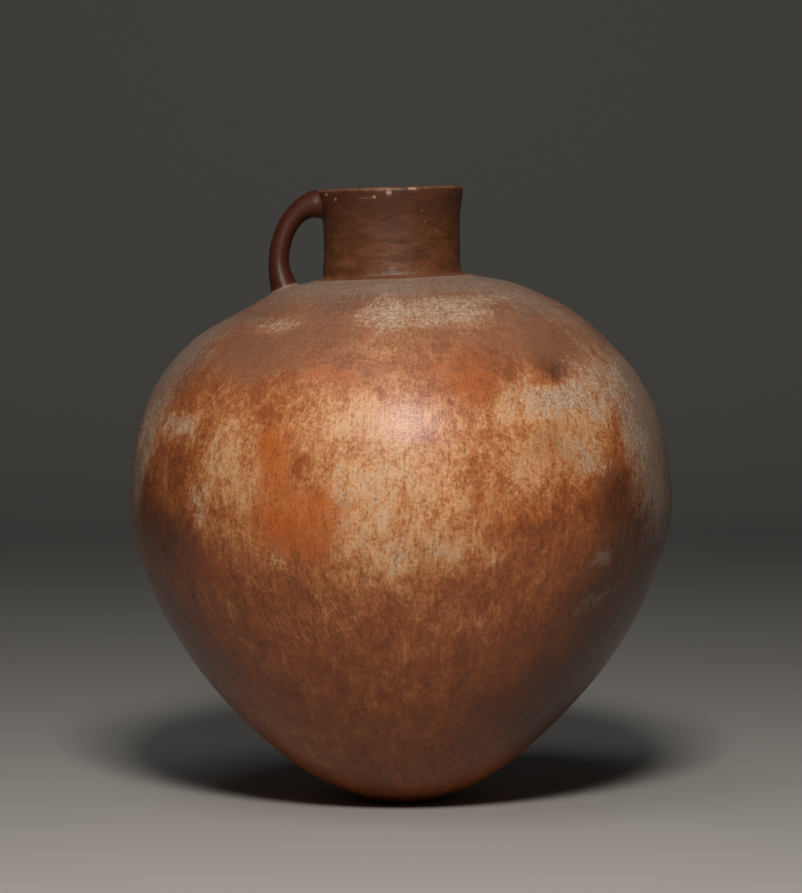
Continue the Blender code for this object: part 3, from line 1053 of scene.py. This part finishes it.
@dataclass(frozen=True)
class BurnishedSlip:
    """Earthenware under a red iron slip, rubbed with a pebble while leather-hard.

    The pebble leaves narrow strokes up the wall with a soft, broken shine. Age has worn the slip
    through brown and orange to the buff clay, stained it, and left a grey film.
    """

    wear_tones: tuple[tuple[float, str], ...] = (
        (0.00, "#43281B"),
        (0.18, "#633823"),
        (0.36, "#86492A"),
        (0.50, "#9C5830"),
        (0.62, "#B67648"),
        (0.78, "#CF9C6F"),
        (1.00, "#C9AD92"),
    )
    mauve: str = "#825B45"
    # Colour of the painted shade on the sides, also used for the dark spot on the right.
    orange: str = "#B35A22"
    shade_and_dark_spot: str = "#46301F"
    grey: str = "#938070"
    dust: str = "#8C6F5E"
    cream_low: str = "#97745C"
    cream_high: str = "#C5AE98"
    grain: str = "#7A4528"
    neck: str = "#402213"
    neck_light: str = "#825031"
    handle_red: str = "#461F11"
    worn_edge: str = "#8F6650"
    bare_clay: str = "#98725F"
    chip_clay: str = "#A98470"
    pit_dark: str = "#3A2218"
    inside_clay: str = "#704A38"
    polished: float = 0.305
    matt: float = 0.80
    ior: float = 1.43
    relief_depth: float = 0.00024
    nick_depth: float = 0.8
    nick_edge: float = 0.8
    nick_share: float = 0.52
    orange_tear: Tear = Tear(1.7, 0.80, 1.8)
    mauve_tear: Tear = Tear(1.6, 0.74, 1.8)
    shade_and_dark_spot_tear: Tear = Tear(0.8, 0.62, 1.4)
    grey_tear: Tear = Tear(1.5, 0.84, 1.8)
    cream_tear: Tear = Tear(2.2, 0.84, 2.4)
    chip_tear: Tear = Tear(0.3, 0.9, 0.3)
    dust_thickness: tuple[float, float] = (0.45, 1.15)
    pale_wear: tuple[float, float] = (0.42, 0.62)
    dot_cover: tuple[float, float, float] = (0.38, 0.10, 0.42)
    gouge_cover: tuple[float, float, float] = (0.56, 0.88, 0.44)
    bared_depth: float = 0.34
    film_depth: float = 0.55
    depth_share: float = 0.5
    streak_level: float = 0.35
    streak_gain: float = 0.44
    worn_lines: tuple[tuple[float, float, float], ...] = (
        (0.5172, 0.0011, 0.75),
        (0.5812, 0.0014, 0.8),
    )
    bare_wear: tuple[float, float, float] = (0.60, 1.1, 0.4)
    film_dull: float = 0.3
    crease: tuple[float, float] = (0.5197, 0.0036)
    handle_dull: float = 0.34
    dull_relief: float = 0.12
    slant: float = math.radians(-24)
    back_reach: float = 0.05
    wear_shares: tuple[tuple[Mark, float], ...] = (
        (Mark.THIN, 0.22),
        (Mark.CREAM, 0.22),
        (Mark.BROWN, -0.15),
        # The painted shade also lowers the wear, which darkens the tone there.
        (Mark.SHADE_AND_DARK_SPOT, -0.24),
    )
    stir_shares: tuple[tuple[str, float], ...] = (
        ("cloud", 0.21),
        ("torn", 0.35),
        ("worm", 0.24),
        ("speck", 0.06),
        ("fibre", 0.05),
    )
    relief_shares: tuple[tuple[str, float], ...] = (
        ("long", 0.20),
        ("fibre", 0.16),
        ("worm", 0.22),
        ("speck", 0.24),
    )

    def material(self, wall: Wall) -> bpy.types.Material:
        """Builds the finish.

        Args:
            wall: The vessel's section, for the places of the nicks and chips.

        Returns:
            The material.
        """
        material, shader = new_material("burnished_red_slip_earthenware")
        tree = material.node_tree
        node = partial(add_node, tree)
        found = self.patterns(node)
        colour, dull = self.colour(node, found, self.ovals(node, wall, PATCHES[Mark.CHIP]))
        height: float | Socket = 0.0
        for name, share in self.relief_shares:
            height = node("Math", {0: found[name], 1: share, 2: height}, operation="MULTIPLY_ADD")
        height = node("Math", {0: dull, 1: self.dull_relief, 2: height}, operation="MULTIPLY_ADD")
        for nicks, code in ((PALE_NICKS, self.bare_clay), (DARK_NICKS, self.pit_dark)):
            cut = node("MapRange", {
                "Value": self.ovals(node, wall, nicks),
                "From Max": self.nick_edge, "To Max": self.nick_share,
            }, **SMOOTH)
            colour = node("Mix", {0: cut, 6: colour, 7: linear_colour(code)}, **RGBA)
            height = node("Math", {0: cut, 1: -self.nick_depth, 2: height}, operation="MULTIPLY_ADD")
        rough = node("MapRange", {"Value": dull, "To Min": self.polished, "To Max": self.matt})
        normal = node("Bump", {"Strength": 1.0, "Distance": self.relief_depth, "Height": height})
        for source, name in ((colour, "Base Color"), (rough, "Roughness"), (normal, "Normal")):
            tree.links.new(source, shader.inputs[name])
        shader.inputs["IOR"].default_value = self.ior
        return material

    def patterns(self, node: Adder) -> dict[str, Socket]:
        """Adds the patterns that the layers share, each spread to run from about 0 to 1.

        Args:
            node: Adds a node to the material.

        Returns:
            The patterns, and the values that change up the wall, by name.
        """
        stroke = node("Attribute", output="Vector", attribute_name="stroke")
        way = node("Attribute", output="Fac", attribute_name="way_up")
        read = {"place": node("TexCoord", output="Object"), "stroke": stroke}
        for name, slant in (("falling", self.slant), ("climbing", -self.slant)):
            turn = node("Math", {
                0: way, 1: math.tan(slant) / VesselForm().belly_radius,
            }, operation="MULTIPLY")
            read[name] = node("VectorRotate", {"Vector": stroke, "Angle": turn}, rotation_type="Z_AXIS")
        found = {"way": way}
        for name, climb in CLIMBS.items():
            found[name] = node("MapRange", {
                "Value": way, "From Min": climb.low, "From Max": climb.high,
                "To Min": climb.start, "To Max": climb.end,
            }, interpolation_type=climb.curve)
        for name, grain in GRAINS.items():
            sized = node("Mapping", {
                "Vector": read[grain.reads], "Scale": (1, 1, grain.width / grain.height),
            })
            plain = node("TexNoise", {
                "Vector": sized, "Scale": per_metre(grain.width), "Detail": grain.detail,
                "Roughness": grain.roughness, "Distortion": grain.distortion,
            })
            found[name] = self.spread(node, plain, grain.contrast)
        found["torn"] = node("Mix", {0: found["smeared"], 2: found["ragged"], 3: found["smear"]})
        for name, (contrast, shares) in BLENDS.items():
            total: float | Socket = 0.0
            for part, share in shares.items():
                total = node("Math", {0: found[part], 1: share, 2: total}, operation="MULTIPLY_ADD")
            found[name] = self.spread(node, total, contrast)
        return found

    @staticmethod
    def spread(node: Adder, source: Socket, contrast: float) -> Socket:
        """Returns a pattern that is spread about its middle."""
        half = 0.5 / contrast
        return node("MapRange", {
            "Value": source, "From Min": MIDDLE - half, "From Max": MIDDLE + half,
        })

    @staticmethod
    def lay(
        node: Adder, under: Socket, shade: str | Socket, mark: Socket, pattern: Socket, tear: Tear
    ) -> tuple[Socket, Socket]:
        """Lays a colour where a soft mark is, with its edge torn by a pattern.

        Args:
            node: Adds a node to the material.
            under: The colour so far.
            shade: The colour to lay, as sRGB hex or another node's.
            mark: The soft mark, from 0 to 1.
            pattern: The pattern that tears it, from 0 to 1.
            tear: How the edge is torn.

        Returns:
            The new colour, and the torn mark.
        """
        held = node("Math", {0: mark, 1: 1 + tear.reach, 2: -tear.reach}, operation="MULTIPLY_ADD")
        torn = node("Math", {0: pattern, 1: tear.reach, 2: held}, operation="MULTIPLY_ADD")
        torn = node("MapRange", {"Value": torn, "From Max": tear.edge, "To Max": tear.most}, **SMOOTH)
        over = linear_colour(shade) if isinstance(shade, str) else shade
        return node("Mix", {0: torn, 6: under, 7: over}, **RGBA), torn

    def colour(self, node: Adder, found: dict[str, Socket], chips: Socket) -> tuple[Socket, Socket]:
        """Works out how worn each place is, tones it, and tints it.

        Args:
            node: Adds a node to the material.
            found: The shared patterns.
            chips: 1 in the middle of each chip, and 0 outside them.

        Returns:
            The colour, and how dull the surface is there.
        """
        marks = {mark: node("Attribute", output="Fac", attribute_name=mark.value) for mark in Mark}
        wear = self.wear(node, found, marks)
        colour = node("ValToRGB", {"Fac": wear})
        tones = colour.node.color_ramp.elements
        while len(tones) < len(self.wear_tones):
            tones.new(0.5)
        for tone, (level, code) in zip(tones, self.wear_tones):
            tone.position = level
            tone.color = linear_colour(code)
        frayed, wisps = found["frayed"], found["wisps"]
        thin, thick = self.dust_thickness
        thickness = node("MapRange", {"Value": wisps, "To Min": thin, "To Max": thick})
        settled = node("Math", {0: found["settled"], 1: thickness}, operation="MULTIPLY")
        film = node("Math", {0: found["dusty"], 1: marks[Mark.GREY]}, operation="MAXIMUM")
        cream = node("Mix", {
            0: found["flour"], 6: linear_colour(self.cream_low), 7: linear_colour(self.cream_high),
        }, **RGBA)
        colour, _ = self.lay(node, colour, self.orange, marks[Mark.ORANGE], frayed, self.orange_tear)
        colour = node("Mix", {0: settled, 6: colour, 7: linear_colour(self.dust)}, **RGBA)
        colour, _ = self.lay(node, colour, self.mauve, marks[Mark.MAUVE], frayed, self.mauve_tear)
        # Lays the painted shade on the limbs and lower sides, and the dark spot on the right.
        colour, _ = self.lay(node, colour, self.shade_and_dark_spot, marks[Mark.SHADE_AND_DARK_SPOT], frayed, self.shade_and_dark_spot_tear)
        colour, film = self.lay(node, colour, self.grey, film, wisps, self.grey_tear)
        colour, bared = self.lay(node, colour, cream, marks[Mark.CREAM], wisps, self.cream_tear)
        low, high = self.pale_wear
        pale = node("MapRange", {"Value": wear, "From Min": low, "From Max": high})
        covers = (
            (found["dots"], self.dot_cover, pale, self.grain),
            (found["gouge"], self.gouge_cover, marks[Mark.GOUGED], self.pit_dark),
        )
        for pattern, (none, full, share), where, code in covers:
            cover = node("MapRange", {
                "Value": pattern, "From Min": none, "From Max": full, "To Max": share,
            }, **SMOOTH)
            cover = node("Math", {0: cover, 1: where}, operation="MULTIPLY")
            colour = node("Mix", {0: cover, 6: colour, 7: linear_colour(code)}, **RGBA)
        depth = node("Math", {0: bared, 1: self.bared_depth}, operation="MULTIPLY")
        depth = node("Math", {0: film, 1: self.film_depth, 2: depth}, operation="MULTIPLY_ADD")
        shade: float | Socket = 1.0
        for name in ("long", "fibre", "speck"):
            about = node("Math", {0: found[name], 1: MIDDLE}, operation="SUBTRACT")
            about = node("Math", {0: about, 1: found["calm"]}, operation="MULTIPLY")
            gain = node("Math", {
                0: depth, 1: self.depth_share, 2: found[name + "_depth"],
            }, operation="MULTIPLY_ADD")
            shade = node("Math", {0: about, 1: gain, 2: shade}, operation="MULTIPLY_ADD")
        colour = node("VectorMath", {0: colour, "Scale": shade}, operation="SCALE")
        return self.top(node, found, colour, chips, film, wear)

    def wear(self, node: Adder, found: dict[str, Socket], marks: dict[Mark, Socket]) -> Socket:
        """Works out how worn each place is.

        Args:
            node: Adds a node to the material.
            found: The shared patterns.
            marks: The soft areas.

        Returns:
            0 where the slip is whole and dark, and 1 where the clay is bare.
        """
        wear = found["worn"]
        for mark, share in self.wear_shares:
            wear = node("Math", {0: marks[mark], 1: share, 2: wear}, operation="MULTIPLY_ADD")
        stirred: float | Socket = 0.0
        for name, share in self.stir_shares:
            about = node("Math", {0: found[name], 1: MIDDLE}, operation="SUBTRACT")
            stirred = node("Math", {0: about, 1: share, 2: stirred}, operation="MULTIPLY_ADD")
        wear = node("Math", {0: stirred, 1: found["stir"], 2: wear}, operation="MULTIPLY_ADD")
        streaks = node("Math", {0: found["streak"], 1: self.streak_level}, operation="SUBTRACT")
        streaks = node("Math", {0: streaks, 1: self.streak_gain}, operation="MULTIPLY")
        return node("Math", {0: streaks, 1: marks[Mark.CREAM], 2: wear}, operation="MULTIPLY_ADD")

    def top(
        self,
        node: Adder,
        found: dict[str, Socket],
        colour: Socket,
        chips: Socket,
        film: Socket,
        wear: Socket,
    ) -> tuple[Socket, Socket]:
        """Colours the neck, the handle, the inside and the chips.

        Args:
            node: Adds a node to the material.
            found: The shared patterns.
            colour: The body's colour.
            chips: 1 in the middle of each chip, and 0 outside them.
            film: How much grey film there is.
            wear: How worn each place is.

        Returns:
            The whole jug's colour, and how dull its surface is.
        """
        way = found["way"]
        on_handle = node("Attribute", output="Fac", attribute_name="on_handle")
        inside = node("Attribute", output="Fac", attribute_name="inside")
        dark = node("Math", {0: found["on_neck"], 1: on_handle}, operation="MAXIMUM")
        cloud = node("Math", {0: found["smear"], 1: found["neck_reach"]}, operation="MULTIPLY")
        neck = node("Mix", {
            0: cloud, 6: linear_colour(self.neck), 7: linear_colour(self.neck_light),
        }, **RGBA)
        neck = node("Mix", {0: on_handle, 6: neck, 7: linear_colour(self.handle_red)}, **RGBA)
        colour = node("Mix", {0: dark, 6: colour, 7: neck}, **RGBA)
        for level, half, strength in self.worn_lines:
            line = node("Math", {0: way, 1: level, 2: half}, operation="COMPARE")
            line = node("Math", {0: line, 1: found["smear"]}, operation="MULTIPLY")
            line = node("Math", {0: line, 1: strength}, operation="MULTIPLY", use_clamp=True)
            colour = node("Mix", {0: line, 6: colour, 7: linear_colour(self.worn_edge)}, **RGBA)
        colour = node("Mix", {0: inside, 6: colour, 7: linear_colour(self.inside_clay)}, **RGBA)
        colour, chips = self.lay(node, colour, self.chip_clay, chips, found["speck"], self.chip_tear)
        low, high, most = self.bare_wear
        bare = node("MapRange", {"Value": wear, "From Min": low, "From Max": high, "To Max": most})
        dull = node("Math", {0: film, 1: self.film_dull, 2: bare}, operation="MULTIPLY_ADD")
        level, half = self.crease
        crease = node("Math", {0: way, 1: level, 2: half}, operation="COMPARE")
        loop = node("Math", {0: on_handle, 1: self.handle_dull}, operation="MULTIPLY")
        for other in (inside, chips, crease, loop):
            dull = node("Math", {0: dull, 1: other}, operation="MAXIMUM", use_clamp=True)
        return colour, dull

    def ovals(self, node: Adder, wall: Wall, places: tuple[Spot, ...]) -> Socket:
        """Adds small scratches, pits, flakes or chips.

        Args:
            node: Adds a node to the material.
            wall: The vessel's section.
            places: Where they are, and their half sizes.

        Returns:
            1 in the middle of each, falling to 0 at its edge.
        """
        spot = node("Attribute", output="Vector", attribute_name="place_on_wall")
        cut: float | Socket = 0.0
        for nick in places:
            way, angle = nick.way * MILLIMETRE, math.radians(nick.azimuth)
            radius = float(np.interp(way, wall.way, wall.outer[:, 0]))
            oval = node("Mapping", {
                "Vector": spot,
                "Location": (radius * math.sin(angle), way, radius * math.cos(angle)),
                "Rotation": (0, angle, math.radians(nick.slant)),
                "Scale": (nick.across * MILLIMETRE, nick.along * MILLIMETRE, self.back_reach),
            }, vector_type="TEXTURE")
            dot = node("TexGradient", {"Vector": oval}, output="Fac", gradient_type="SPHERICAL")
            cut = node("Math", {0: dot, 1: cut}, operation="MAXIMUM")
        return cut


@dataclass(frozen=True)
class PaintedBoard:
    """Matt painted board: even and pale, with no shine to speak of."""

    shade: str = "#ADABA7"
    roughness: float = 0.9

    def material(self) -> bpy.types.Material:
        """Returns the plain finish."""
        material, shader = new_material("matt_painted_board")
        shader.inputs["Base Color"].default_value = linear_colour(self.shade)
        shader.inputs["Roughness"].default_value = self.roughness
        return material


@dataclass(frozen=True)
class SoftBox:
    """One soft box: where it hangs, its width and height, its power in watts and its colour."""

    name: str
    place: tuple[float, float, float]
    size: tuple[float, float]
    power: float
    shade: str


@dataclass
class Studio:
    """The pale floor that sweeps up behind, the soft lights, and the camera of the photograph."""

    half_width: float = 5.0
    front: float = -4.0
    bend_start: float = 2.6
    bend_radius: float = 1.2
    bend_steps: int = 16
    top: float = 4.5
    camera_place: tuple[float, float, float] = (0.0, -2.728, 0.3717)
    camera_aim: tuple[float, float, float] = (0.0, 0.0, 0.2416)
    lens: float = 161.44
    sensor: float = 36.0
    sight: float = 50.0
    light_aim: tuple[float, float, float] = (0.0, 0.0, 0.22)
    boxes: tuple[SoftBox, ...] = (
        SoftBox("front_box", (0.014, -1.348, 1.212), (0.33, 0.27), 21.5, "#FFF8F0"),
        SoftBox("overhead_box", (-0.35, -0.95, 2.6), (1.5, 1.0), 8, "#FFFFFF"),
    )
    room_shade: str = "#E8ECF2"
    room_glow: float = 0.02

    def sweep(self) -> bpy.types.Object:
        """Draws the floor back and up into a wall, in one bend.

        Returns:
            The floor and wall.
        """
        work = bmesh.new()
        ends = [work.verts.new((x, self.front, 0)) for x in (-self.half_width, self.half_width)]
        edges = [work.edges.new(ends)]
        angles = [math.pi / 2 * step / self.bend_steps for step in range(self.bend_steps + 1)]
        line = [
            (self.bend_start + self.bend_radius * math.sin(a), self.bend_radius * (1 - math.cos(a)))
            for a in angles
        ]
        line.append((line[-1][0], self.top))
        last = (self.front, 0.0)
        for y, z in line:
            made = bmesh.ops.extrude_edge_only(work, edges=edges)["geom"]
            verts = [v for v in made if isinstance(v, BMVert)]
            edges = [e for e in made if isinstance(e, BMEdge)]
            bmesh.ops.translate(work, verts=verts, vec=(0, y - last[0], z - last[1]))
            last = (y, z)
        for face in work.faces:
            face.smooth = True
        floor = new_object("studio_floor", work)
        floor.data.materials.append(PaintedBoard().material())
        return floor

    def lights(self) -> None:
        """Hangs the soft boxes, and sets the room's glow."""
        for box in self.boxes:
            lamp = bpy.data.lights.new(box.name, "AREA")
            lamp.shape = "RECTANGLE"
            lamp.size, lamp.size_y = box.size
            lamp.energy = box.power
            lamp.color = linear_colour(box.shade)[:3]
            light = bpy.data.objects.new(box.name, lamp)
            light.location = box.place
            aim = Vector(self.light_aim) - Vector(box.place)
            light.rotation_euler = aim.to_track_quat("-Z", "Y").to_euler()
            bpy.context.scene.collection.objects.link(light)
        world = bpy.data.worlds.new("room")
        world.use_nodes = True
        background = world.node_tree.nodes["Background"]
        background.inputs["Color"].default_value = linear_colour(self.room_shade)
        background.inputs["Strength"].default_value = self.room_glow
        bpy.context.scene.world = world

    def camera(self) -> bpy.types.Object:
        """Stands the camera where the photograph was taken from.

        Returns:
            The camera.
        """
        eye = bpy.data.cameras.new("photograph")
        eye.sensor_fit = "VERTICAL"
        eye.sensor_height = self.sensor
        eye.lens = self.lens
        eye.clip_end = self.sight
        camera = bpy.data.objects.new("photograph", eye)
        camera.location = self.camera_place
        aim = Vector(self.camera_aim) - Vector(self.camera_place)
        camera.rotation_euler = aim.to_track_quat("-Z", "Y").to_euler()
        bpy.context.scene.collection.objects.link(camera)
        bpy.context.scene.camera = camera
        return camera


def main() -> None:
    """Builds the studio and the jug, and notes how large the visual model is."""
    logging.basicConfig(level=logging.INFO, format="%(message)s")
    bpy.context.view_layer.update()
    bpy.context.scene.view_settings.view_transform = "Standard"
    studio = Studio()
    studio.camera()
    studio.lights()
    studio.sweep()
    log.info("studio: floor, lights and camera")
    maker = Jug()
    jug = maker.build()
    jug.data.materials.append(BurnishedSlip().material(maker.wall))
    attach(jug, "root")
    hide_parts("jug")
    log.info("%s: %d faces", jug.name, len(jug.data.polygons))
    bpy.context.view_layer.update()


if __name__ == "__main__":
    main()
